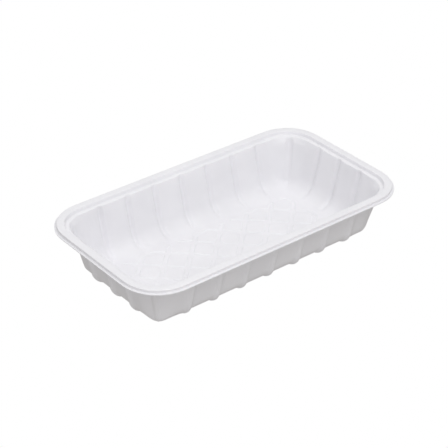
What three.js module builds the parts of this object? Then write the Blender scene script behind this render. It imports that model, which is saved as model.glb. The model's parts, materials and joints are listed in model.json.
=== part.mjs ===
// A shallow ribbed meat tray, vacuum formed in one piece from white polypropylene sheet.
//
// Millimetres, +Z up. The origin is the middle of the base, on the plane that the tray stands on.
// +X runs along the length. The section of the tray, from outside to inside, is: a small turned-out
// lip, a short skirt, a flat flange, a step down to a narrow ledge, a leaning wall with upright
// ribs that bulge outwards, a large base radius, and a floor of lozenge pads between channels.
//
// The upper face of the sheet is built as one skin of rings. The lower face is the same skin,
// moved by the sheet's thickness along its normals, so that the wall is the same all over.

import * as THREE from 'three';

// Overall form
const FLANGE_LENGTH = 227.1;
const FLANGE_WIDTH = 126.4;
const FLANGE_RADIUS = 27.8; // outer corner of the flange, in plan
const HEIGHT = 41.3; // standing plane to flange top
const SHEET = 0.5; // thickness of the formed sheet

// Rim: insets are measured inwards from the flange's edge, drops downwards from its top
const LIP_REACH = 1.45; // how far the lip stands out past the flange
const LIP_DROP = 2.45;
const EDGE_ROUND = 1.0; // rounding between the skirt and the flange top
const STEP_INSET = 5.6; // where the flat flange ends
const STEP_DROP = 2.8; // ledge below the flange
const LEDGE_END = 8.9;
const LEDGE_ROUND = 0.5; // the wall proper starts this far below the ledge

// Wall
const WALL_INSET = 9.0; // at its top, just below the ledge
const WALL_DRAFT = THREE.MathUtils.degToRad(13.2);
const BASE_RADIUS = 14.2; // large fillet between wall and floor

// Corner of the wall in plan. At the ledge it follows the flange. Just below, two slanting facets
// beside the corner rib cut it off a little. From there it closes slowly on its way down.
const FACET_DROP = 3.8; // height of the facets
const FACET_RADIUS = 22;
const LOW_WALL_RADIUS = 17; // at the wall's end
const FLOOR_CORNER_RADIUS = 3.0;
const CORNER_CLOSE_END = 0.7; // share of the base radius's turn at which it has that radius

// Ribs
const LONG_SIDE_RIBS = 7;
const SHORT_SIDE_RIBS = 3;
const LONG_SIDE_PITCH = 23.7;
const SHORT_SIDE_PITCH = 21.9;
const RIB_WIDTH_TOP = 5.6;
const RIB_WIDTH_FOOT = 4.5;
const RIB_CREST_SHARE = 0.42; // crest width over full width
const RIB_DEPTH_TOP = 2.0;
const RIB_DEPTH_FOOT = 1.6;
const RIB_FADE_START = 0.35; // share of the base radius's turn at which a rib starts to run out
const LEDGE_NOTCH = 0.5; // depth of a rib where it cuts the ledge's edge, over its full depth
const CORNER_RIB_WIDTH_FOOT = 2.6;
const CORNER_RIB_DEPTH_TOP = 2.2; // at the foot of the facets
const CORNER_RIB_DEPTH_FOOT = 0.7; // at the wall's end
const CORNER_RIB_END = 0.75; // share of the base radius's turn at which the corner rib has run out

// Floor: channels on both diagonals, one lozenge to a rib
const LOZENGE = LONG_SIDE_PITCH; // corner to corner of a pad
const CHANNEL_DEPTH = 0.5;
const CHANNEL_WIDTH = 2.2; // at its bottom
const CHANNEL_FLANK = 0.8; // run of each sloping side
const GRID_COLUMNS = 6; // crossings lie on a chequered grid of half lozenges, out to these
const GRID_ROWS = 2;
const TURN_REACH_X = 80.5; // where the channels turn or end, from the floor's middle
const TURN_REACH_Y = 31.0;
const END_SHORTFALL = 1.3; // a channel that ends is this much shorter than one that turns
const TURN_SPACING = 4; // half lozenges between the places where two channels join in a turn

// Fineness of the facets
const RIM_CORNER_STEPS = 9;
const CORNER_SPANS = 3; // wall facets between a corner's start and its rib
const WALL_STEPS = 3; // below the facets
const FILLET_STEPS = 5;

const PLASTIC = { color: 0xe9e9ee, roughness: 0.38, metalness: 0 };

const QUARTER = Math.PI / 2;
const FULL_TURN = 4 * QUARTER;
const SIDE_BOW = 0.01;
const FLAT_DAMPING = 1e-4; // steadies the offset of a vertex whose faces all lie in one plane
const lerp = THREE.MathUtils.lerp;
const smooth = (x, from, to) => THREE.MathUtils.smoothstep(x, from, to);

// Drops of the floor pads' upper face and of the centre of the base radius
const FLOOR_DROP = HEIGHT - SHEET - CHANNEL_DEPTH;
const FILLET_CENTRE_DROP = FLOOR_DROP - BASE_RADIUS;
const WALL_TOP_DROP = STEP_DROP + LEDGE_ROUND;
const WALL_END_DROP = FILLET_CENTRE_DROP + BASE_RADIUS * Math.sin(WALL_DRAFT);
const wallInset = (drop) => WALL_INSET + (drop - WALL_TOP_DROP) * Math.tan(WALL_DRAFT);
const WALL_END_INSET = wallInset(WALL_END_DROP);
const HALF_LOZENGE = LOZENGE / 2;
const FLOOR_INSET = WALL_END_INSET + BASE_RADIUS * Math.cos(WALL_DRAFT);

// The four sides, counterclockwise from +X, each with its outward direction and its ribs
const SIDES = [0, 1, 2, 3].map((turn) => {
  const along = turn % 2 === 0;
  return {
    turn,
    reach: (along ? FLANGE_LENGTH : FLANGE_WIDTH) / 2,
    ribs: along ? SHORT_SIDE_RIBS : LONG_SIDE_RIBS,
    pitch: along ? SHORT_SIDE_PITCH : LONG_SIDE_PITCH,
  };
});

// Centre of the corner that follows a side
function cornerCentre(turn, inset, radius) {
  const x = FLANGE_LENGTH / 2 - inset - radius;
  const y = FLANGE_WIDTH / 2 - inset - radius;
  const signX = turn === 0 || turn === 3 ? 1 : -1;
  const signY = turn < 2 ? 1 : -1;
  return new THREE.Vector2(x * signX, y * signY);
}

function direction(angle) {
  return new THREE.Vector2(Math.cos(angle), Math.sin(angle));
}

// A plain ring of the rim: four arcs joined by straight sides
function rimRing([inset, drop]) {
  const radius = FLANGE_RADIUS - inset;
  const ring = [];
  for (const { turn } of SIDES) {
    const centre = cornerCentre(turn, inset, radius);
    for (let step = 0; step <= RIM_CORNER_STEPS; step++) {
      const angle = (turn + step / RIM_CORNER_STEPS) * QUARTER;
      const place = centre.clone().addScaledVector(direction(angle), radius);
      ring.push(new THREE.Vector3(place.x, place.y, HEIGHT - drop));
    }
  }
  return ring;
}

// A ring of the wall. Each rib takes four points: two at its foot and two on its crest, which
// stand out by the rib's depth along the wall's own normal.
function wallRing({ inset, drop, lean, strength, radius, cornerDepth }) {
  const down = (drop - STEP_DROP) / (FLOOR_DROP - STEP_DROP);
  const foot = lerp(RIB_WIDTH_TOP, RIB_WIDTH_FOOT, down) / 2;
  const crest = foot * RIB_CREST_SHARE;
  const depth = strength * lerp(RIB_DEPTH_TOP, RIB_DEPTH_FOOT, down);
  const cornerFoot = lerp(RIB_WIDTH_TOP, CORNER_RIB_WIDTH_FOOT, down) / 2;
  const ring = [];
  const add = (place, outward, bulge) => {
    place.addScaledVector(outward, bulge * Math.cos(lean));
    ring.push(new THREE.Vector3(place.x, place.y, HEIGHT - drop - bulge * Math.sin(lean)));
  };
  for (const { turn, reach, ribs, pitch } of SIDES) {
    const outward = direction(turn * QUARTER);
    const along = direction((turn + 1) * QUARTER);
    for (let rib = -(ribs - 1) / 2; rib <= (ribs - 1) / 2; rib++) {
      for (const [shift, bulge] of [[-foot, 0], [-crest, depth], [crest, depth], [foot, 0]]) {
        const place = outward.clone().multiplyScalar(reach - inset);
        add(place.addScaledVector(along, rib * pitch + shift), outward, bulge);
      }
    }
    const centre = cornerCentre(turn, inset, radius);
    const half = QUARTER / 2;
    const footAngle = Math.min(cornerFoot / radius, half * 0.6);
    const spots = [];
    for (let span = 0; span <= CORNER_SPANS; span++) {
      spots.push([-lerp(half, footAngle, span / CORNER_SPANS), 0]);
    }
    spots.push([-footAngle * RIB_CREST_SHARE, cornerDepth]);
    const mirrored = spots.map(([angle, bulge]) => [-angle, bulge]).reverse();
    for (const [angle, bulge] of [...spots, ...mirrored]) {
      const way = direction(turn * QUARTER + half + angle);
      add(centre.clone().addScaledVector(way, radius), way, bulge);
    }
  }
  return ring;
}

// Section of the rim, from the lip's edge to the foot of the step
const rimSection = [
  [-LIP_REACH, LIP_DROP],
  [-0.5, LIP_DROP - 0.15],
  [-0.05, LIP_DROP - 0.8],
  [0, EDGE_ROUND],
  [EDGE_ROUND * 0.3, EDGE_ROUND * 0.3],
  [EDGE_ROUND, 0],
  [STEP_INSET - 0.5, 0],
  [STEP_INSET, 0.35],
  [STEP_INSET + 0.4, STEP_DROP - 0.35],
  [STEP_INSET + 0.8, STEP_DROP],
];

// Section of the wall, from the ledge's inner edge to the floor
function wallSection() {
  const ledgeRadius = FLANGE_RADIUS - LEDGE_END;
  const facetShare = (WALL_TOP_DROP - STEP_DROP) / FACET_DROP;
  const section = [
    {
      inset: LEDGE_END,
      drop: STEP_DROP,
      lean: 0,
      strength: LEDGE_NOTCH,
      radius: ledgeRadius,
      cornerDepth: 0,
    },
    {
      inset: WALL_INSET,
      drop: WALL_TOP_DROP,
      lean: WALL_DRAFT,
      strength: lerp(LEDGE_NOTCH, 1, facetShare),
      radius: lerp(ledgeRadius, FACET_RADIUS, facetShare),
      cornerDepth: CORNER_RIB_DEPTH_TOP * facetShare,
    },
  ];
  const facetEnd = STEP_DROP + FACET_DROP;
  for (let step = 0; step < WALL_STEPS; step++) {
    const share = step / WALL_STEPS;
    const drop = lerp(facetEnd, WALL_END_DROP, share);
    section.push({
      inset: wallInset(drop),
      drop,
      lean: WALL_DRAFT,
      strength: 1,
      radius: lerp(FACET_RADIUS, LOW_WALL_RADIUS, share),
      cornerDepth: lerp(CORNER_RIB_DEPTH_TOP, CORNER_RIB_DEPTH_FOOT, share),
    });
  }
  for (let step = 0; step <= FILLET_STEPS; step++) {
    const share = step / FILLET_STEPS;
    const angle = lerp(WALL_DRAFT, QUARTER, share);
    section.push({
      inset: FLOOR_INSET - BASE_RADIUS * Math.cos(angle),
      drop: FILLET_CENTRE_DROP + BASE_RADIUS * Math.sin(angle),
      lean: angle,
      strength: 1 - smooth(share, RIB_FADE_START, 1),
      radius: lerp(LOW_WALL_RADIUS, FLOOR_CORNER_RADIUS, smooth(share, 0, CORNER_CLOSE_END)),
      cornerDepth: CORNER_RIB_DEPTH_FOOT * (1 - smooth(share, 0, CORNER_RIB_END)),
    });
  }
  return section;
}

// Triangles between two closed rings, the outer first. Rings with different numbers of points
// are zipped together by the angle at which each point lies round the tray's middle.
function bridge(outer, inner, { vertices, triangles }) {
  const angleOf = (index) => {
    const { x, y } = vertices[index];
    const angle = Math.atan2(y / FLANGE_WIDTH, x / FLANGE_LENGTH);
    return angle < 0 ? angle + FULL_TURN : angle;
  };
  const sweep = (ring) => {
    const angles = ring.map(angleOf);
    const first = angles.indexOf(Math.min(...angles));
    const round = ring.map((_, step) => {
      const at = (first + step) % ring.length;
      return { index: ring[at], angle: angles[at] };
    });
    return [...round, { index: ring[first], angle: angles[first] + FULL_TURN }];
  };
  const a = sweep(outer);
  const b = sweep(inner);
  let i = 0;
  let j = 0;
  while (i < a.length - 1 || j < b.length - 1) {
    const onOuter = j === b.length - 1 || (i < a.length - 1 && a[i + 1].angle <= b[j + 1].angle);
    if (onOuter) {
      triangles.push([a[i].index, a[i + 1].index, b[j].index]);
      i++;
    } else {
      triangles.push([a[i].index, b[j + 1].index, b[j].index]);
      j++;
    }
  }
}

// Triangles between two rings of equal length whose points match one to one
function strip(outer, inner, triangles) {
  outer.forEach((from, step) => {
    const next = (step + 1) % outer.length;
    triangles.push([from, outer[next], inner[next]], [from, inner[next], inner[step]]);
  });
}

// A level face filled with triangles, all turned up. Loops are lists of vertex numbers.
function fill(outline, holes, { vertices, triangles }, plan = (vertex) => vertex) {
  const flat = (loop) => loop.map((index) => new THREE.Vector2(vertices[index].x, vertices[index].y));
  const corners = [outline, ...holes].flat();
  for (const face of THREE.ShapeUtils.triangulateShape(flat(outline).map(plan), holes.map(flat))) {
    const triangle = face.map((corner) => corners[corner]);
    if (THREE.ShapeUtils.area(flat(triangle)) < 0) triangle.reverse();
    triangles.push(triangle);
  }
}

// While the triangles are picked, the floor's straight sides are bowed in a little. No triangle
// can then take all its corners from one side.
function bowIn({ x, y }) {
  const bow = (across, half) => 1 - SIDE_BOW * (1 - (across / half) ** 2);
  const half = new THREE.Vector2(FLANGE_LENGTH, FLANGE_WIDTH).multiplyScalar(0.5).subScalar(FLOOR_INSET);
  return new THREE.Vector2(x * bow(y, half.y), y * bow(x, half.x));
}

// The channels of the floor, as runs between posts. A post is a corner of the network, held as
// two vertices: one on the channel's bottom, and one at the top of its sloping side.
class Channels {
  constructor(skin) {
    this.skin = skin;
    this.posts = new Map();
    this.rims = new Map();
  }

  post(name, place) {
    if (!this.posts.has(name)) {
      const levels = [
        [CHANNEL_WIDTH / 2, SHEET],
        [CHANNEL_WIDTH / 2 + CHANNEL_FLANK, SHEET + CHANNEL_DEPTH],
      ];
      this.posts.set(name, levels.map(([half, z]) => {
        const { x, y } = place(half);
        return this.skin.vertices.push(new THREE.Vector3(x, y, z)) - 1;
      }));
    }
    return this.posts.get(name);
  }

  quad(a, b, c, d) {
    this.skin.triangles.push([a, b, c], [a, c, d]);
  }

  // One stretch of channel: its bottom and its two sloping sides
  run(leftStart, leftEnd, rightStart, rightEnd) {
    this.quad(rightStart[0], rightEnd[0], leftEnd[0], leftStart[0]);
    this.quad(rightStart[0], rightStart[1], rightEnd[1], rightEnd[0]);
    this.quad(leftStart[0], leftEnd[0], leftEnd[1], leftStart[1]);
    this.rims.set(rightEnd[1], rightStart[1]);
    this.rims.set(leftStart[1], leftEnd[1]);
  }

  // The sloping side that closes a stretch at its end
  cap(left, right) {
    this.quad(right[0], right[1], left[1], left[0]);
    this.rims.set(left[1], right[1]);
  }

  // The loops along the tops of the sloping sides: one round each pad, one round them all
  loops() {
    const loops = [];
    while (this.rims.size > 0) {
      const loop = [];
      let [at] = this.rims.keys();
      while (this.rims.has(at)) {
        loop.push(at);
        const next = this.rims.get(at);
        this.rims.delete(at);
        at = next;
      }
      loops.push(loop);
    }
    return loops;
  }
}

// Corner of a crossing on the grid of half lozenges, towards one of the four axes
function crossingCorner(channels, column, row, way) {
  return channels.post(`${column} ${row} ${way.x} ${way.y}`, (half) => new THREE.Vector2(
    column * HALF_LOZENGE + way.x * half * Math.SQRT2,
    row * HALF_LOZENGE + way.y * half * Math.SQRT2,
  ));
}

// Corner of a channel that has left the grid, at a given distance from the floor's middle line
function borderPost(channels, { column, row, out, side }, edge, reach, end) {
  const start = new THREE.Vector2(column, row).multiplyScalar(HALF_LOZENGE);
  const name = `${column} ${row} ${out.x} ${out.y} ${side.x} ${side.y} ${edge} ${end}`;
  return channels.post(name, (half) => {
    const distance = reach + end * half;
    const shift = distance - start.dot(out) + edge * half * Math.SQRT2;
    return out.clone().multiplyScalar(distance).addScaledVector(side, start.dot(side) + shift);
  });
}

// The stretches that leave the grid at a border. Where two of them lean towards a turning place,
// a short run joins them; elsewhere each has an end of its own.
function borderRuns(channels, { column, row, out, reach }) {
  const right = new THREE.Vector2(out.y, -out.x);
  for (const turn of [1, -1]) {
    const side = right.clone().multiplyScalar(turn);
    const spot = { column, row, out, side };
    const meets = new THREE.Vector2(column, row).add(out).add(side);
    const turns = Math.abs(meets.dot(right)) % TURN_SPACING === 0;
    const distance = turns ? reach : reach - END_SHORTFALL;
    const outer = borderPost(channels, spot, -1, distance, 1);
    const inner = borderPost(channels, spot, 1, distance, turns ? -1 : 1);
    const ends = turn > 0 ? [outer, inner] : [inner, outer];
    const starts = [out, side].map((way) => crossingCorner(channels, column, row, way));
    if (turn < 0) starts.reverse();
    channels.run(starts[0], ends[0], starts[1], ends[1]);
    if (!turns) {
      channels.cap(ends[0], ends[1]);
    } else if (turn > 0) {
      const far = meets.clone().add(side).sub(out);
      const twin = { column: far.x, row: far.y, out, side: right.clone().negate() };
      const twinEnds = [[-1, 1], [1, -1]].map(
        ([edge, end]) => borderPost(channels, twin, edge, distance, end),
      );
      channels.run(outer, twinEnds[0], inner, twinEnds[1]);
    }
  }
}

// The floor: lozenge pads at one level, with channels pressed down between them
function addFloor(skin, outline) {
  const channels = new Channels(skin);
  const ways = [[1, 0], [0, 1], [-1, 0], [0, -1]].map(([x, y]) => new THREE.Vector2(x, y));
  const onGrid = (column, row) => Math.abs(column) <= GRID_COLUMNS && Math.abs(row) <= GRID_ROWS;
  for (let row = -GRID_ROWS; row <= GRID_ROWS; row++) {
    for (let column = -GRID_COLUMNS; column <= GRID_COLUMNS; column++) {
      if ((row + column) % 2 === 0) continue;
      const corners = ways.map((way) => crossingCorner(channels, column, row, way));
      channels.quad(...corners.map(([bottom]) => bottom));
      const [east, north, west] = corners;
      if (onGrid(column + 1, row + 1)) {
        const far = [ways[2], ways[3]].map((way) => crossingCorner(channels, column + 1, row + 1, way));
        channels.run(north, far[0], east, far[1]);
      }
      if (onGrid(column - 1, row + 1)) {
        const far = [ways[3], ways[0]].map((way) => crossingCorner(channels, column - 1, row + 1, way));
        channels.run(west, far[0], north, far[1]);
      }
      for (const out of ways) {
        const reach = out.x === 0 ? TURN_REACH_Y : TURN_REACH_X;
        if (!onGrid(column + out.x, row + out.y)) borderRuns(channels, { column, row, out, reach });
      }
    }
  }
  const loopArea = (loop) => THREE.ShapeUtils.area(loop.map((index) => skin.vertices[index]));
  for (const loop of channels.loops()) {
    if (loopArea(loop) > 0) fill(loop, [], skin);
    else fill(outline, [loop], skin, bowIn);
  }
}

// The upper face of the sheet, its faces turned up and inwards
function upperSkin() {
  const skin = { vertices: [], triangles: [] };
  const addRing = (ring) => ring.map((vertex) => skin.vertices.push(vertex) - 1);
  const rim = rimSection.map((station) => addRing(rimRing(station)));
  const wall = wallSection().map((station) => addRing(wallRing(station)));
  for (let k = 1; k < rim.length; k++) strip(rim[k - 1], rim[k], skin.triangles);
  bridge(rim[rim.length - 1], wall[0], skin);
  for (let k = 1; k < wall.length; k++) strip(wall[k - 1], wall[k], skin.triangles);
  addFloor(skin, wall[wall.length - 1]);
  return { ...skin, edge: rim[0] };
}

// The move that takes a vertex the sheet's thickness away from all the faces round it
function offsets({ vertices, triangles }, thickness) {
  const sums = vertices.map(() => ({ spread: new Array(9).fill(0), pull: new THREE.Vector3() }));
  for (const triangle of triangles) {
    const [a, b, c] = triangle.map((index) => vertices[index]);
    const normal = b.clone().sub(a).cross(c.clone().sub(a)).normalize();
    const parts = normal.toArray();
    for (const index of triangle) {
      const { spread, pull } = sums[index];
      for (let k = 0; k < 9; k++) spread[k] += parts[k % 3] * parts[Math.floor(k / 3)];
      pull.addScaledVector(normal, -thickness);
    }
  }
  return sums.map(({ spread, pull }) => {
    for (const k of [0, 4, 8]) spread[k] += FLAT_DAMPING;
    return pull.applyMatrix3(new THREE.Matrix3().fromArray(spread).invert());
  });
}

// Closes the skin into a sheet: the lower face is the upper one moved by the thickness
function thicken(skin, thickness) {
  const { vertices, triangles, edge } = skin;
  const moves = offsets(skin, thickness);
  const lower = vertices.map((vertex, index) => vertex.clone().add(moves[index]));
  const offset = vertices.length;
  const faces = [...triangles];
  for (const [a, b, c] of triangles) faces.push([c + offset, b + offset, a + offset]);
  edge.forEach((from, step) => {
    const to = edge[(step + 1) % edge.length];
    faces.push([to, from, from + offset], [to, from + offset, to + offset]);
  });
  return { vertices: [...vertices, ...lower], faces };
}

function trayGeometry() {
  const { vertices, faces } = thicken(upperSkin(), SHEET);
  const geometry = new THREE.BufferGeometry().setFromPoints(vertices);
  geometry.setIndex(faces.flat());
  geometry.computeVertexNormals();
  return geometry;
}

const tray = new THREE.Mesh(trayGeometry(), new THREE.MeshStandardMaterial(PLASTIC));
tray.name = 'tray';

const model = new THREE.Group();
model.add(tray);

export default model;
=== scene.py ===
# %% [markdown]
# # A white plastic meat tray
# A butcher's tray is one sheet of white polypropylene, heated and sucked down over a mould. So it
# has nearly the same thickness all over, soft corners, and no seams. It is modelled here in the
# same way: first the upper face as a single skin, then the thickness, then the finish.
#
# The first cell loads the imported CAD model. It is the frame: it fixes the size and the place.

# %% Load the frame
import json
import math

import bmesh
import bpy
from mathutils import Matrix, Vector

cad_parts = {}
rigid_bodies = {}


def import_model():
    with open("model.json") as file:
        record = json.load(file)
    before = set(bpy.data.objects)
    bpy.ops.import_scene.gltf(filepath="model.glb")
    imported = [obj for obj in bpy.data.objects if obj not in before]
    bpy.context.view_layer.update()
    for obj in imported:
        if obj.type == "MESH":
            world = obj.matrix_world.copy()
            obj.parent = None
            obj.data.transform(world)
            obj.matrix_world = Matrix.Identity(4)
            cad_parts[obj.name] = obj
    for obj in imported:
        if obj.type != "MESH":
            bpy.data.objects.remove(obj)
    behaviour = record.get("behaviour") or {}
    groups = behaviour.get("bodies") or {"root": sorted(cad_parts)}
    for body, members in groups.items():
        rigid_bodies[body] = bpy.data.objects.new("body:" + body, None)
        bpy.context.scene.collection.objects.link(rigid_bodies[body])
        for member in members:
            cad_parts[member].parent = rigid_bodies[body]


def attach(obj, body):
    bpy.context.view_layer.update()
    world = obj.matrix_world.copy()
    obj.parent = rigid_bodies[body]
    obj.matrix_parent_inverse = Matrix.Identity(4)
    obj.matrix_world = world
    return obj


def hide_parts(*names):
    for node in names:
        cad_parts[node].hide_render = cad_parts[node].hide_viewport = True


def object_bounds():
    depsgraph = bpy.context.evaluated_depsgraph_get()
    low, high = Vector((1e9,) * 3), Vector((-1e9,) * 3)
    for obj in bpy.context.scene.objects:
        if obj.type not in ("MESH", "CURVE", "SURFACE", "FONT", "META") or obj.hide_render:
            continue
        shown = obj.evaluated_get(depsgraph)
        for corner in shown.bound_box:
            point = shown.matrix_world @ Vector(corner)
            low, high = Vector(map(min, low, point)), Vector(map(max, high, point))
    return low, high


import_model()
cad_low, cad_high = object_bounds()
MM = 0.001
print("CAD box, mm:", [round(side / MM, 1) for side in Vector(cad_high) - Vector(cad_low)])

# %% [markdown]
# ## The camera
# The photograph looks down on one corner from a good way off, with a long lens. Three numbers
# give the view: how far the camera has gone round, how high it stands, and how far away it is.
# Working out the place from them is easier to correct than typing the place itself.

# %% Place the camera
AZIMUTH = math.radians(-38.511)  # from straight on to the long side
ELEVATION = math.radians(31.962)
DISTANCE = 1.0138
AIM = Vector((-0.02008, -0.02112, cad_high[2]))
LENS = 119.94  # mm, on a sensor 36 mm wide

away = Vector((
    math.sin(AZIMUTH) * math.cos(ELEVATION),
    -math.cos(AZIMUTH) * math.cos(ELEVATION),
    math.sin(ELEVATION),
))
camera_data = bpy.data.cameras.new("camera")
camera_data.lens = LENS
camera_data.sensor_width = 36.0
camera = bpy.data.objects.new("camera", camera_data)
camera.location = AIM + away * DISTANCE
camera.rotation_euler = away.to_track_quat("Z", "Y").to_euler()
bpy.context.collection.objects.link(camera)
bpy.context.scene.camera = camera
print("camera at", [round(value, 3) for value in camera.location])

# %% [markdown]
# ## The sizes
# All sizes are the tray's real ones, in metres. The frame gives the outer box, and the rest is
# set out from the flange: an inset is measured inwards from the flange's edge, and a drop is
# measured down from the flange's top.

# %% Name the sizes
SHEET = 0.5 * MM
LIP_REACH = 1.45 * MM
HALF_LENGTH = cad_high[0] - LIP_REACH  # of the flange
HALF_WIDTH = cad_high[1] - LIP_REACH
HEIGHT = cad_high[2]
FLANGE_RADIUS = 27.8 * MM

STEP_INSET = 5.6 * MM
STEP_DROP = 2.8 * MM
LEDGE_END = 8.9 * MM
LEDGE_ROUND = 0.5 * MM  # height of the soft edge where the ledge turns down
WALL_INSET = 9.0 * MM
WALL_DRAFT = math.radians(13.2)
BASE_RADIUS = 14.2 * MM
CHANNEL_DEPTH = 0.5 * MM

floor_drop = HEIGHT - SHEET - CHANNEL_DEPTH
fillet_drop = floor_drop - BASE_RADIUS
wall_top_drop = STEP_DROP + LEDGE_ROUND
wall_end_drop = fillet_drop + BASE_RADIUS * math.sin(WALL_DRAFT)


def wall_inset(drop):
    return WALL_INSET + (drop - wall_top_drop) * math.tan(WALL_DRAFT)


wall_end_inset = wall_inset(wall_end_drop)
floor_inset = wall_end_inset + BASE_RADIUS * math.cos(WALL_DRAFT)
print("floor, mm:", round(2 * (HALF_LENGTH - floor_inset) / MM, 1),
      "by", round(2 * (HALF_WIDTH - floor_inset) / MM, 1))

# %% [markdown]
# ## Helpers for working by hand
# Modelling by script is modelling by hand with the mouse taken away. An operator acts on what is
# selected, so nearly every step is two lines: select by place, then operate. These helpers do
# the selecting.

# %% Selection helpers


def deselect_objects():
    for thing in bpy.context.selected_objects:
        thing.select_set(False)


def edit_vertices(piece, work):
    """Lets work(mesh) read or change the mesh of a piece that is in edit mode."""
    mesh = bmesh.from_edit_mesh(piece.data)
    result = work(mesh)
    bmesh.update_edit_mesh(piece.data)
    return result


def select(piece, kind, wanted):
    """Selects the vertices, edges or faces that wanted(element) is true for."""
    bpy.ops.mesh.select_mode(type=kind)
    mesh = bmesh.from_edit_mesh(piece.data)
    elements = {"VERT": mesh.verts, "EDGE": mesh.edges, "FACE": mesh.faces}[kind]
    chosen = [element for element in elements if wanted(element)]
    for element in elements:
        element.select_set(False)
    for element in chosen:
        element.select_set(True)
    mesh.select_flush_mode()
    bmesh.update_edit_mesh(piece.data)
    return len(chosen)


def middle(edge):
    return (edge.verts[0].co + edge.verts[1].co) / 2


print("helpers ready")

# %% [markdown]
# ## The section
# Cut the tray across and the sheet shows one line: lip, skirt, flange, a step down, a narrow
# ledge, the leaning wall, a big base radius, and the floor. That line is drawn first, as a chain
# of vertices that is extruded point by point. Everything else is this chain, swept.
#
# Each vertex of the chain keeps its number in a mesh layer. Extrude and spin copy layers, so a
# vertex always knows which ring of the tray it belongs to.
#
# The points come first, as pairs of an inset and a drop. Where the sheet turns it has two or three
# points close together, because Subdivision Surface will cut every corner of the line later on.

# %% List the stations of the section
FACET_DROP = 3.8 * MM  # height of the slanting facets beside the corner rib
WALL_STEPS = 4  # below the facets
FILLET_STEPS = 8

stations = [
    (-LIP_REACH, 2.45 * MM),  # edge of the lip
    (-0.5 * MM, 2.42 * MM),
    (0.15 * MM, 2.38 * MM),  # the lip turns up into the skirt
    (0.3 * MM, 2.05 * MM),
    (0.0, 0.55 * MM),  # the skirt turns in to the flange
    (0.2 * MM, 0.12 * MM),
    (0.8 * MM, 0.0),  # outer edge of the level flange
    (STEP_INSET - 0.6 * MM, 0.0),  # its inner edge
    (STEP_INSET, 0.1 * MM),
    (STEP_INSET + 0.2 * MM, 0.6 * MM),  # top of the step
    (STEP_INSET + 0.45 * MM, STEP_DROP - 0.3 * MM),  # foot of the step
    (STEP_INSET + 0.8 * MM, STEP_DROP),
    (LEDGE_END - 0.4 * MM, STEP_DROP + 0.03 * MM),  # the level ledge ends
    (LEDGE_END, STEP_DROP + 0.2 * MM),
]
ledge_ring = len(stations) - 1
facet_end = STEP_DROP + FACET_DROP
for drop in (wall_top_drop + 0.2 * MM, facet_end - 0.4 * MM, facet_end + 0.4 * MM):
    stations.append((wall_inset(drop), drop))
facet_ring = len(stations) - 1
for step in range(1, WALL_STEPS + 1):
    drop = facet_end + (wall_end_drop - facet_end) * step / WALL_STEPS
    stations.append((wall_inset(drop), drop))
wall_end_ring = len(stations) - 1
for step in range(1, FILLET_STEPS + 1):
    turn = WALL_DRAFT + (math.pi / 2 - WALL_DRAFT) * step / FILLET_STEPS
    stations.append((
        floor_inset - BASE_RADIUS * math.cos(turn),
        fillet_drop + BASE_RADIUS * math.sin(turn),
    ))
print(len(stations), "stations from the lip to the floor")

# %% [markdown]
# ## Drawing it
# No primitive is a single vertex, so a small plane is added and merged to its centre. From there
# each vertex is extruded to the place of the next. The chain is drawn at the end of a short side,
# where the corner begins, ready to be spun.

# %% Draw the section as a chain
FLOOR_CORNER_RADIUS = 3.0 * MM
spin_centre = Vector((
    HALF_LENGTH - floor_inset - FLOOR_CORNER_RADIUS,
    HALF_WIDTH - floor_inset - FLOOR_CORNER_RADIUS,
    0.0,
))


def place_of(station):
    inset, drop = station
    return Vector((HALF_LENGTH - inset, spin_centre.y, HEIGHT - drop))


deselect_objects()
bpy.ops.mesh.primitive_plane_add(size=1 * MM, location=place_of(stations[0]))
tray = bpy.context.object
tray.name = "tray_shell"
bpy.ops.object.transform_apply(location=True, rotation=True, scale=True)
bpy.ops.object.mode_set(mode="EDIT")
bpy.ops.mesh.select_all(action="SELECT")
bpy.ops.mesh.merge(type="CENTER")
for start, end in zip(stations, stations[1:]):
    bpy.ops.mesh.extrude_vertices_move(
        TRANSFORM_OT_translate={"value": place_of(end) - place_of(start)}
    )


def number_rings(mesh):
    ring = mesh.verts.layers.int.new("ring")
    mesh.verts.layers.int.new("rib")
    for number, station in enumerate(stations):
        spot = place_of(station)
        nearest = min(mesh.verts, key=lambda vertex: (vertex.co - spot).length)
        nearest[ring] = number
    return len(mesh.verts)


print("chain of", edit_vertices(tray, number_rings), "vertices")

# %% [markdown]
# ## The corner
# A corner is the section turned through a quarter circle. The spin is done in short turns and
# not in one, because the rib in the middle of the corner needs columns of its own: two at its
# foot, two at its crest and one between them. A column on a crest is marked now and pushed out
# later.

# %% Spin the corner
RIB_HALF = 2.8 * MM  # half the rib's width at its top
RIB_FOOT_SHARE = 0.80  # its width at the floor over its width at the top
CREST_SHARE = 0.42  # width of a rib's crest over the whole rib's
HOLD = 0.5 * MM  # plain column that keeps the panel beside a rib flat
PLAIN, SIDE_RIB, CORNER_RIB = 0, 1, 2
CORNER_STEPS = 4
FACET_RADIUS = 22 * MM  # corner of the wall in plan, at the foot of the facets

half_foot = RIB_HALF / FACET_RADIUS
half_hold = (RIB_HALF + HOLD) / FACET_RADIUS
half_crest = half_foot * CREST_SHARE
quarter = math.pi / 2
panel_angle = quarter / 2 - half_hold
columns = [(panel_angle * step / CORNER_STEPS, PLAIN) for step in range(1, CORNER_STEPS + 1)]
columns += [(quarter / 2 - half_foot, PLAIN), (quarter / 2 - half_crest, CORNER_RIB)]
mirrored = [(quarter - angle, kind) for angle, kind in reversed(columns)]
columns += [(quarter / 2, CORNER_RIB)] + mirrored + [(quarter, PLAIN)]


def mark_selected(piece, kind):
    mesh = bmesh.from_edit_mesh(piece.data)
    layer = mesh.verts.layers.int["rib"]
    for vertex in mesh.verts:
        if vertex.select:
            vertex[layer] = kind
    bmesh.update_edit_mesh(piece.data)


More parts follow.
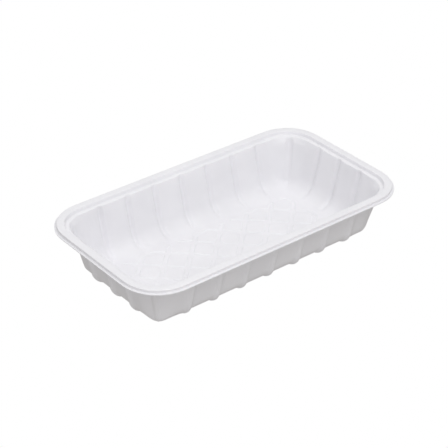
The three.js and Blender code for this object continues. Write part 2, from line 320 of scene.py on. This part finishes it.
bpy.ops.mesh.select_all(action="SELECT")
turned = 0.0
for angle, kind in columns:
    bpy.ops.mesh.spin(steps=1, angle=angle - turned, center=spin_centre, axis=(0, 0, -1))
    mark_selected(tray, kind)
    turned = angle
print(len(columns), "columns in the corner,", len(tray.data.vertices), "vertices")

# %% [markdown]
# ## The sides
# From each end of the corner the section is extruded straight on, one column at a time, as far
# as the middle of the tray. Only a quarter is modelled. The other three are mirrored later.

# %% Extrude the two sides
LONG_PITCH = 23.7 * MM
SHORT_PITCH = 21.9 * MM
LONG_RIBS = 7
SHORT_RIBS = 3


def side_columns(ribs, pitch):
    """Columns from the rib beside the corner to the middle of the side."""
    crest = RIB_HALF * CREST_SHARE
    result = []
    for number in range((ribs - 1) // 2, -1, -1):
        spot = number * pitch
        if number < (ribs - 1) // 2:
            result.append((spot + RIB_HALF + HOLD, PLAIN))
        result += [(spot + RIB_HALF, PLAIN), (spot + crest, SIDE_RIB), (spot, SIDE_RIB)]
        if number > 0:
            result += [(spot - crest, SIDE_RIB), (spot - RIB_HALF, PLAIN)]
            result.append((spot - RIB_HALF - HOLD, PLAIN))
    return result


def extrude_side(piece, axis, start, ribs, pitch):
    reached = start
    for spot, kind in side_columns(ribs, pitch):
        move = Vector((0.0, 0.0, 0.0))
        move[axis] = spot - reached
        bpy.ops.mesh.extrude_region_move(TRANSFORM_OT_translate={"value": move})
        mark_selected(piece, kind)
        reached = spot


TINY = 0.001 * MM
for axis, ribs, pitch in ((1, SHORT_RIBS, SHORT_PITCH), (0, LONG_RIBS, LONG_PITCH)):
    edge_of_corner = spin_centre[axis]
    found = select(tray, "VERT", lambda vertex: abs(vertex.co[axis] - edge_of_corner) < TINY)
    extrude_side(tray, axis, edge_of_corner, ribs, pitch)
    print("side of", found, "vertices a column")

# %% [markdown]
# ## Corners that tighten on the way down
# At the ledge the wall's corner follows the flange, with a radius of 19 mm. Just below, the radius
# grows to 22 mm, and that leaves two slanting facets, like crescents, that catch the light beside
# the corner's rib. Then the corner closes slowly, to 17 mm at the end of the wall and 3 mm on the
# floor.
#
# The spin made all the arcs about one centre, so each ring of the corner is now scaled about the
# point where its two straight sides would meet. Scaling about that point keeps the arc touching
# both sides and only changes its radius.

# %% Work out the corner's radius for each ring
LOW_WALL_RADIUS = 17 * MM
CLOSE_END = 0.7  # share of the base radius at which the corner has the floor's radius


def blend(start, end, share):
    return start + (end - start) * share


def ease(share):
    """From 0 to 1, slow at both ends."""
    share = min(max(share, 0.0), 1.0)
    return share * share * (3.0 - 2.0 * share)


def facet_share(ring):
    return min(max((stations[ring][1] - STEP_DROP) / FACET_DROP, 0.0), 1.0)


def wall_share(ring):
    """How far the ring is down the wall, from the facets to the start of the base radius."""
    return min(max((stations[ring][1] - facet_end) / (wall_end_drop - facet_end), 0.0), 1.0)


def fillet_share(ring):
    return max(ring - wall_end_ring, 0) / FILLET_STEPS


def corner_radius(ring):
    if ring <= ledge_ring:
        return FLANGE_RADIUS - stations[ring][0]
    if ring < facet_ring:
        return blend(FLANGE_RADIUS - LEDGE_END, FACET_RADIUS, facet_share(ring))
    if ring <= wall_end_ring:
        return blend(FACET_RADIUS, LOW_WALL_RADIUS, wall_share(ring))
    return blend(LOW_WALL_RADIUS, FLOOR_CORNER_RADIUS, ease(fillet_share(ring) / CLOSE_END))


print("corner radii, mm:", [round(corner_radius(ring) / MM, 1) for ring in range(len(stations))])

# %% Scale each ring's arc to its radius
for ring, (inset, drop) in enumerate(stations):

    def in_ring(vertex):
        beyond = vertex.co - spin_centre
        layer = bmesh.from_edit_mesh(tray.data).verts.layers.int["ring"]
        return vertex[layer] == ring and beyond.x > -TINY and beyond.y > -TINY

    select(tray, "VERT", in_ring)
    spun_radius = floor_inset + FLOOR_CORNER_RADIUS - inset
    scale = corner_radius(ring) / spun_radius
    bpy.ops.transform.resize(
        value=(scale, scale, 1.0),
        center_override=(HALF_LENGTH - inset, HALF_WIDTH - inset, HEIGHT - drop),
    )
print("scaled the arcs of", len(stations), "rings")

# %% [markdown]
# ## The ribs
# A rib is a shallow flute pressed outwards. It could be extruded, but that would leave a box. The
# real one is drawn out of the sheet: it is deepest near the rim, gets slimmer on the way down and
# dies away on the base radius. So the crest columns are moved along the wall's own normals, each
# ring by its own depth. The rib in the corner runs straight down from the ledge. It is deepest
# beside the facets, where the wall stands back, and hardly shows at the foot.

# %% Work out how deep a rib is at each ring
RIB_DEPTH_TOP = 2.0 * MM
RIB_DEPTH_FOOT = 1.6 * MM
LEDGE_NOTCH = 0.5  # the rib's depth where it cuts the ledge's edge, over its full depth
FADE_START = 0.35  # share of the base radius after which a rib dies away
CORNER_RIB_DEPTH_TOP = 2.2 * MM
CORNER_RIB_DEPTH_FOOT = 0.7 * MM
CORNER_RIB_END = 0.75  # share of the base radius at which the corner's rib has died away


def way_down(ring):
    return min(max((stations[ring][1] - STEP_DROP) / (floor_drop - STEP_DROP), 0.0), 1.0)


def side_rib_depth(ring):
    depth = blend(RIB_DEPTH_TOP, RIB_DEPTH_FOOT, way_down(ring))
    if ring <= facet_ring:
        return depth * blend(LEDGE_NOTCH, 1.0, facet_share(ring))
    return depth * (1.0 - ease((fillet_share(ring) - FADE_START) / (1.0 - FADE_START)))


def corner_rib_depth(ring):
    if ring < facet_ring:
        return CORNER_RIB_DEPTH_TOP * facet_share(ring)
    depth = blend(CORNER_RIB_DEPTH_TOP, CORNER_RIB_DEPTH_FOOT, wall_share(ring))
    return depth * (1.0 - ease(fillet_share(ring) / CORNER_RIB_END))


def rib_depth(kind, ring):
    if ring < ledge_ring - 1:
        return 0.0
    return corner_rib_depth(ring) if kind == CORNER_RIB else side_rib_depth(ring)


for name, kind in (("side", SIDE_RIB), ("corner", CORNER_RIB)):
    depths = [round(rib_depth(kind, ring) / MM, 2) for ring in range(ledge_ring, len(stations))]
    print("depth of a", name, "rib from the ledge down, mm:", depths)

# %% Press the ribs


def outward(vertex, ring):
    """Away from the food: level at the ledge, and along the wall's normal below it."""
    way = -vertex.normal if vertex.normal.z > 0 else vertex.normal.copy()
    if ring <= ledge_ring:
        way.z = 0.0
    return way.normalized()


def slim_ribs(mesh):
    ring_layer = mesh.verts.layers.int["ring"]
    for vertex in mesh.verts:
        ring = vertex[ring_layer]
        slimmer = 1.0 - blend(1.0, RIB_FOOT_SHARE, way_down(ring))
        for axis, pitch in ((1, SHORT_PITCH), (0, LONG_PITCH)):
            along = vertex.co[axis]
            from_rib = along - round(along / pitch) * pitch
            if abs(from_rib) < RIB_HALF + TINY and along < spin_centre[axis] - TINY:
                vertex.co[axis] -= from_rib * slimmer


def press_ribs(mesh):
    ring_layer = mesh.verts.layers.int["ring"]
    rib_layer = mesh.verts.layers.int["rib"]
    mesh.normal_update()
    moves = []
    for vertex in mesh.verts:
        ring, kind = vertex[ring_layer], vertex[rib_layer]
        if kind != PLAIN and rib_depth(kind, ring) > 0:
            moves.append((vertex, outward(vertex, ring) * rib_depth(kind, ring)))
    for vertex, move in moves:
        vertex.co += move
    return len(moves)


bpy.ops.mesh.select_all(action="SELECT")
bpy.ops.mesh.normals_make_consistent(inside=False)
edit_vertices(tray, slim_ribs)
print("pressed", edit_vertices(tray, press_ribs), "vertices of the ribs")
bpy.ops.object.mode_set(mode="OBJECT")

# %% [markdown]
# ## From a quarter to the whole wall
# The tray is the same on both sides of its length and of its width. A Mirror modifier on two
# axes makes the other three quarters and welds the seams.

# %% Mirror the quarter


def apply_modifier(piece, kind, **settings):
    modifier = piece.modifiers.new(kind.lower(), kind)
    for name, value in settings.items():
        setattr(modifier, name, value)
    bpy.context.view_layer.objects.active = piece
    bpy.ops.object.modifier_apply(modifier=modifier.name)


SEAM = 0.01 * MM  # vertices closer than this to a mirror are welded to their image
apply_modifier(
    tray, "MIRROR", use_axis=(True, True, False), use_mirror_merge=True, merge_threshold=SEAM
)
print("wall of", len(tray.data.polygons), "faces")

# %% [markdown]
# ## The floor and its pattern
# The floor has lozenge pads with narrow channels between them, so that the meat doesn't lie in
# its own juice. On paper it is two families of slanting lines. That is how it is drawn: a plane
# is cut along every line with bisect, the lines are widened into strips with a bevel, and the
# strips are pressed down.

# %% Cut the lines of the pattern
TURN_X = 79.9 * MM  # where the channels turn or end
TURN_Y = 30.3 * MM
PLAIN_EDGE = 2.5 * MM
floor_z = HEIGHT - floor_drop

deselect_objects()
bpy.ops.mesh.primitive_plane_add(size=1.0, location=(0.0, 0.0, floor_z))
floor = bpy.context.object
floor.name = "floor_sheet"
floor.scale = (2 * (TURN_X + PLAIN_EDGE), 2 * (TURN_Y + PLAIN_EDGE), 1.0)
bpy.ops.object.transform_apply(location=True, rotation=True, scale=True)
bpy.ops.object.mode_set(mode="EDIT")


def cut(point, normal):
    bpy.ops.mesh.select_all(action="SELECT")
    bpy.ops.mesh.bisect(plane_co=point, plane_no=normal)


lines = int((TURN_X + TURN_Y + 2 * PLAIN_EDGE) / LONG_PITCH + 0.5)
for number in range(-lines, lines):
    crossing = (number + 0.5) * LONG_PITCH
    cut((crossing, 0.0, floor_z), (1, 1, 0))
    cut((crossing, 0.0, floor_z), (1, -1, 0))
for way in (-1, 1):
    cut((way * TURN_X, 0.0, floor_z), (1, 0, 0))
    cut((0.0, way * TURN_Y, floor_z), (0, 1, 0))
floor.update_from_editmode()
print("floor cut into", len(floor.data.polygons), "faces")

# %% [markdown]
# ## Channels
# At the border a pair of channels either turns over in a short arch or just ends. On the long
# sides every second pair turns, and on the short sides only the middle one. A bevel on the chosen
# edges makes them strips. The strips are then hidden, because what still hangs together with the
# sheet's edge is the plain part round the pattern, and it can be picked in one go and deleted.

# %% Widen the lines into channels
CHANNEL_HALF = 1.9 * MM
MEETING_X = 3.5 * LONG_PITCH  # where two channels would meet past TURN_X
MEETING_Y = 1.5 * LONG_PITCH  # and past TURN_Y
turn_columns = [-2 * LONG_PITCH, 0.0, 2 * LONG_PITCH]
LARGEST_STRIP = LONG_PITCH ** 2 / 8  # in area; a pad between strips is selected too, but is larger


def in_channel(edge):
    spot = middle(edge)
    along = edge.verts[1].co - edge.verts[0].co
    slants = abs(abs(along.x) - abs(along.y)) < TINY
    if slants:
        return abs(spot.x) < TURN_X and abs(spot.y) < TURN_Y
    if abs(abs(spot.y) - TURN_Y) < TINY:
        reach = MEETING_Y - TURN_Y
        return any(abs(spot.x - column) < reach for column in turn_columns)
    if abs(abs(spot.x) - TURN_X) < TINY:
        return abs(spot.y) < MEETING_X - TURN_X
    return False


def is_strip(face):
    return face.select and face.calc_area() < LARGEST_STRIP


def on_sheet_edge(face):
    return not face.hide and any(edge.is_boundary for edge in face.edges)


print(select(floor, "EDGE", in_channel), "edges lie in channels")
bpy.ops.mesh.bevel(offset=CHANNEL_HALF, offset_type="OFFSET", segments=1, affect="EDGES")
print(select(floor, "FACE", is_strip), "pieces of channel")
bpy.ops.mesh.hide()
print(select(floor, "FACE", on_sheet_edge), "faces touch the sheet's edge")
bpy.ops.mesh.select_linked()
bpy.ops.mesh.delete(type="FACE")
bpy.ops.mesh.reveal(select=True)

# %% [markdown]
# ## Pads
# The strips come back selected, so an inset gives them flanks and a move presses them down. An
# inset on each pad then holds its rounding near the edge. Subdivision Surface rounds the corner
# of a long face far more than that of a short one, and would turn the lozenges into ovals. So
# every face of the floor is cut into short ones first. Creases would keep the corners too, but
# they leave dark slits once the sheet has its thickness.

# %% Press the channels down and round the pads
CHANNEL_FLANK = 0.7 * MM
PAD_ROUND = 1.0 * MM
FLOOR_CUTS = 2

bpy.ops.mesh.inset(thickness=CHANNEL_FLANK)
bpy.ops.transform.translate(value=(0.0, 0.0, -CHANNEL_DEPTH))


def is_pad(face):
    spot = face.calc_center_median()
    return abs(spot.z - floor_z) < TINY


print(select(floor, "FACE", is_pad), "pads between the channels")
bpy.ops.mesh.inset(thickness=PAD_ROUND, use_individual=True)
bpy.ops.mesh.select_all(action="SELECT")
bpy.ops.mesh.subdivide(number_cuts=FLOOR_CUTS)
bpy.ops.object.mode_set(mode="OBJECT")

# %% [markdown]
# ## Joining floor and wall
# The wall ends in a ring at the foot of its radius, and the pattern ends in a zigzag just inside
# it, on the same level. Both loops are selected and filled. An inset of the fill then keeps its
# triangles away from the curved faces, so they lie flat and never show.

# %% Join them
BORDER = 0.5 * MM
LEVEL = 0.999  # a face whose normal has this much of Z lies flat

deselect_objects()
floor.select_set(True)
tray.select_set(True)
bpy.context.view_layer.objects.active = tray
bpy.ops.object.join()
bpy.ops.object.mode_set(mode="EDIT")


def on_floor_edge(edge):
    return edge.is_boundary and abs(middle(edge).z - floor_z) < TINY


print(select(tray, "EDGE", on_floor_edge), "edges round the gap")
bpy.ops.mesh.fill(use_beauty=True)
bpy.ops.mesh.select_mode(type="FACE")
bpy.ops.mesh.inset(thickness=BORDER)

bpy.ops.mesh.select_all(action="SELECT")
bpy.ops.mesh.normals_make_consistent(inside=False)


def faces_down(mesh):
    flat = [face for face in mesh.faces if abs(face.normal.z) > LEVEL]
    return sum(face.normal.z * face.calc_area() for face in flat) < 0


if edit_vertices(tray, faces_down):
    bpy.ops.mesh.flip_normals()
bpy.ops.object.mode_set(mode="OBJECT")
print("skin of", len(tray.data.polygons), "faces")

# %% [markdown]
# ## Softness and thickness
# Sheet that is drawn over a mould never has a hard edge. A Subdivision Surface rounds the whole
# skin, and only then does Solidify give it its thickness, downwards and outwards, so that the
# face that was modelled stays where it is.

# %% Smooth the skin and thicken it
SMOOTH_ANGLE = math.radians(50)  # edges that turn by more stay sharp in the shading

apply_modifier(tray, "SUBSURF", levels=1, render_levels=1)
apply_modifier(tray, "SOLIDIFY", thickness=SHEET, offset=-1.0, use_even_offset=True)
bpy.ops.object.shade_smooth_by_angle(angle=SMOOTH_ANGLE)
tray.data.calc_loop_triangles()
print("tray_shell has", len(tray.data.loop_triangles), "triangles")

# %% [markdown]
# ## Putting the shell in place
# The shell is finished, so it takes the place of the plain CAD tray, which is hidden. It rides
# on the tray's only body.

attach(tray, "root")
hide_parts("tray")
print(tray.name, "stands for the CAD node tray")

# %% [markdown]
# ## Writing shader maths as sums
# A material's pattern is arithmetic: a mask times an amount, plus a base value. With a small
# class that wraps a socket, that arithmetic is written as a Python expression, and each operator
# adds the Math node it stands for. Any other node comes from one function.

# %% Helpers for materials


class Wire:
    """A socket that can stand in a sum."""

    def __init__(self, tree, socket):
        self.tree = tree
        self.socket = socket

    def _combine(self, operation, first, second):
        maths = add_node(self.tree, "ShaderNodeMath", {"operation": operation}, {0: first, 1: second})
        return Wire(self.tree, maths.outputs[0])

    def __add__(self, other):
        return self._combine("ADD", self, other)

    def __radd__(self, other):
        return self._combine("ADD", other, self)

    def __mul__(self, other):
        return self._combine("MULTIPLY", self, other)

    def __rmul__(self, other):
        return self._combine("MULTIPLY", other, self)


def add_node(tree, kind, settings=None, inputs=None):
    """Adds a node, makes its settings, and then gives its sockets values or links."""
    node = tree.nodes.new(kind)
    for name, value in (settings or {}).items():
        setattr(node, name, value)
    for name, value in (inputs or {}).items():
        if isinstance(value, Wire):
            tree.links.new(value.socket, node.inputs[name])
        else:
            node.inputs[name].default_value = value
    return node


def wire(node, output=0):
    return Wire(node.id_data, node.outputs[output])


def new_material(name):
    material = bpy.data.materials.new(name)
    material.use_nodes = True
    material.node_tree.nodes.clear()
    return material, material.node_tree


print("material helpers ready")

# %% [markdown]
# ## The plastic
# Drawn polypropylene looks plain, but it isn't flat paint. Its white is a touch cool and very
# slightly cloudy, because the sheet is thicker in some places than in others. Its sheen is soft
# and uneven. Close up it has a fine grain from the mould, and on the walls faint streaks that
# run the way the hot sheet was drawn. From as far off as the photograph none of that can be told
# apart, so all of it is weak: the patterns move the colour and the roughness by a few hundredths,
# and only just ruffle the surface.

# %% Name the whites and the patterns
CLOUDY_WHITE = (0.866, 0.860, 0.889, 1.0)
CLEAR_WHITE = (0.902, 0.896, 0.922, 1.0)

plastic, tree = new_material("white_polypropylene")
place = wire(add_node(tree, "ShaderNodeTexCoord"), "Object")


def noise(scale, detail, coordinates=place):
    """Soft random pattern between 0 and 1, with about this many blotches in a metre."""
    values = {"Vector": coordinates, "Scale": scale, "Detail": detail, "Roughness": 0.55}
    return wire(add_node(tree, "ShaderNodeTexNoise", inputs=values), "Fac")


def stretched(x, y, z):
    mapping = add_node(tree, "ShaderNodeMapping", inputs={"Vector": place, "Scale": (x, y, z)})
    return wire(mapping)


def steps(value, low, high):
    """0 below low, 1 above high, and a smooth change between."""
    ends = {"Value": value, "From Min": low, "From Max": high}
    shaped = add_node(tree, "ShaderNodeMapRange", {"interpolation_type": "SMOOTHSTEP"}, ends)
    return wire(shaped)


clouds = noise(38.0, 3.0)
streaks = noise(260.0, 2.0, stretched(1.0, 1.0, 0.09))
grain = noise(1900.0, 2.0)
scuffs = steps(noise(420.0, 4.0, stretched(1.0, 0.35, 1.0)), 0.62, 0.74)
print("patterns take", len(tree.nodes), "nodes")

# %% Make the plastic
SHEEN_ROUGHNESS = 0.29  # under the clouds and scuffs, which only add to it
POLYPROPYLENE_IOR = 1.49

colour = add_node(tree, "ShaderNodeMix", {"data_type": "RGBA"}, {
    "Factor": steps(clouds, 0.3, 0.7) * 0.8 + grain * 0.2,
})
colour.inputs[6].default_value = CLOUDY_WHITE
colour.inputs[7].default_value = CLEAR_WHITE

relief = grain * 0.35 + streaks * 0.65
bump = add_node(tree, "ShaderNodeBump", inputs={
    "Strength": 0.2, "Distance": 0.02 * MM, "Height": relief,
})
surface = add_node(tree, "ShaderNodeBsdfPrincipled", inputs={
    "Base Color": Wire(tree, colour.outputs[2]),
    "Roughness": clouds * 0.05 + scuffs * 0.02 + SHEEN_ROUGHNESS,
    "Normal": wire(bump),
    "IOR": POLYPROPYLENE_IOR,
    "Specular IOR Level": 0.5,
})
add_node(tree, "ShaderNodeOutputMaterial", inputs={"Surface": wire(surface)})
tray.data.materials.clear()
tray.data.materials.append(plastic)
print(plastic.name, "has", len(tree.nodes), "nodes")

# %% [markdown]
# ## Floor and light
# The photograph is a catalogue picture: the tray stands on a white table in soft light from all
# round, and the background is burnt out to pure white with no shadow left in it. So the floor is
# made to glow evenly. It is white to the camera and a calmer pale grey to everything else: if it
# lit the tray as brightly as it looks, the undersides of the walls would lose their shade.

# %% Lay the floor
FLOOR_SIZE = 8.0
BACKGROUND = 1.0
FLOOR_GLOW = 0.42
GLOW_COLOUR = (1.0, 0.97, 0.94, 1.0)  # a little warm, as the walls look outside

deselect_objects()
bpy.ops.mesh.primitive_plane_add(size=FLOOR_SIZE, location=(0.0, 0.0, cad_low[2]))
ground = bpy.context.object
ground.name = "ground"

pale, glow = new_material("pale_floor")
bright = add_node(glow, "ShaderNodeEmission", inputs={"Strength": BACKGROUND})
calm = add_node(glow, "ShaderNodeEmission", inputs={"Color": GLOW_COLOUR, "Strength": FLOOR_GLOW})
seen = wire(add_node(glow, "ShaderNodeLightPath"), "Is Camera Ray")
chosen = add_node(glow, "ShaderNodeMixShader", inputs={0: seen, 1: wire(calm), 2: wire(bright)})
add_node(glow, "ShaderNodeOutputMaterial", inputs={"Surface": wire(chosen)})
ground.data.materials.append(pale)
print("floor", FLOOR_SIZE, "m across")

# %% [markdown]
# ## The studio
# Most of the light is a plain bright room. That alone would make the tray look like paper, since
# every side of it would be equally bright. Softboxes give it form. The strongest stands in front
# and a little to the left, so the inside of the back wall is brighter than that of the right one.
# One above and one behind lift the flange and the floor. One low beside the camera picks out the
# ribs outside. The smallest gives a soft glow to the base radius of the far corner. The Standard
# view transform shows whites as they are lit, and the default one would grey them.

# %% Light the tray
SKY = 0.515
PURE_WHITE = (1.0, 1.0, 1.0, 1.0)
LAMPS = {  # watts, width and height in metres, place
    "front_softbox": (5.6, 1.6, 1.6, (-0.2, -0.75, 1.15)),
    "top_softbox": (4.0, 1.6, 1.6, (0.0, 0.0, 1.4)),
    "back_softbox": (2.0, 1.6, 1.6, (0.15, 1.0, 0.9)),
    "low_softbox": (1.5, 0.9, 0.15, (-0.8, -1.0, 0.085)),
    "small_softbox": (1.6, 0.3, 0.3, (-0.12, -0.85, 1.15)),
}

world = bpy.data.worlds.new("studio")
world.use_nodes = True
room = world.node_tree
room.nodes.clear()
white = add_node(room, "ShaderNodeBackground", inputs={"Color": PURE_WHITE, "Strength": BACKGROUND})
sky = add_node(room, "ShaderNodeBackground", inputs={"Color": PURE_WHITE, "Strength": SKY})
seen = wire(add_node(room, "ShaderNodeLightPath"), "Is Camera Ray")
chosen = add_node(room, "ShaderNodeMixShader", inputs={0: seen, 1: wire(sky), 2: wire(white)})
add_node(room, "ShaderNodeOutputWorld", inputs={"Surface": wire(chosen)})
bpy.context.scene.world = world

for name, (watts, width, height, spot) in LAMPS.items():
    lamp_data = bpy.data.lights.new(name, "AREA")
    lamp_data.shape = "RECTANGLE"
    lamp_data.size = width
    lamp_data.size_y = height
    lamp_data.energy = watts
    lamp = bpy.data.objects.new(name, lamp_data)
    lamp.location = spot
    lamp.rotation_euler = Vector(spot).to_track_quat("Z", "Y").to_euler()  # faces the tray
    bpy.context.collection.objects.link(lamp)
    print(name, watts, "W at", spot)
bpy.context.scene.view_settings.view_transform = "Standard"
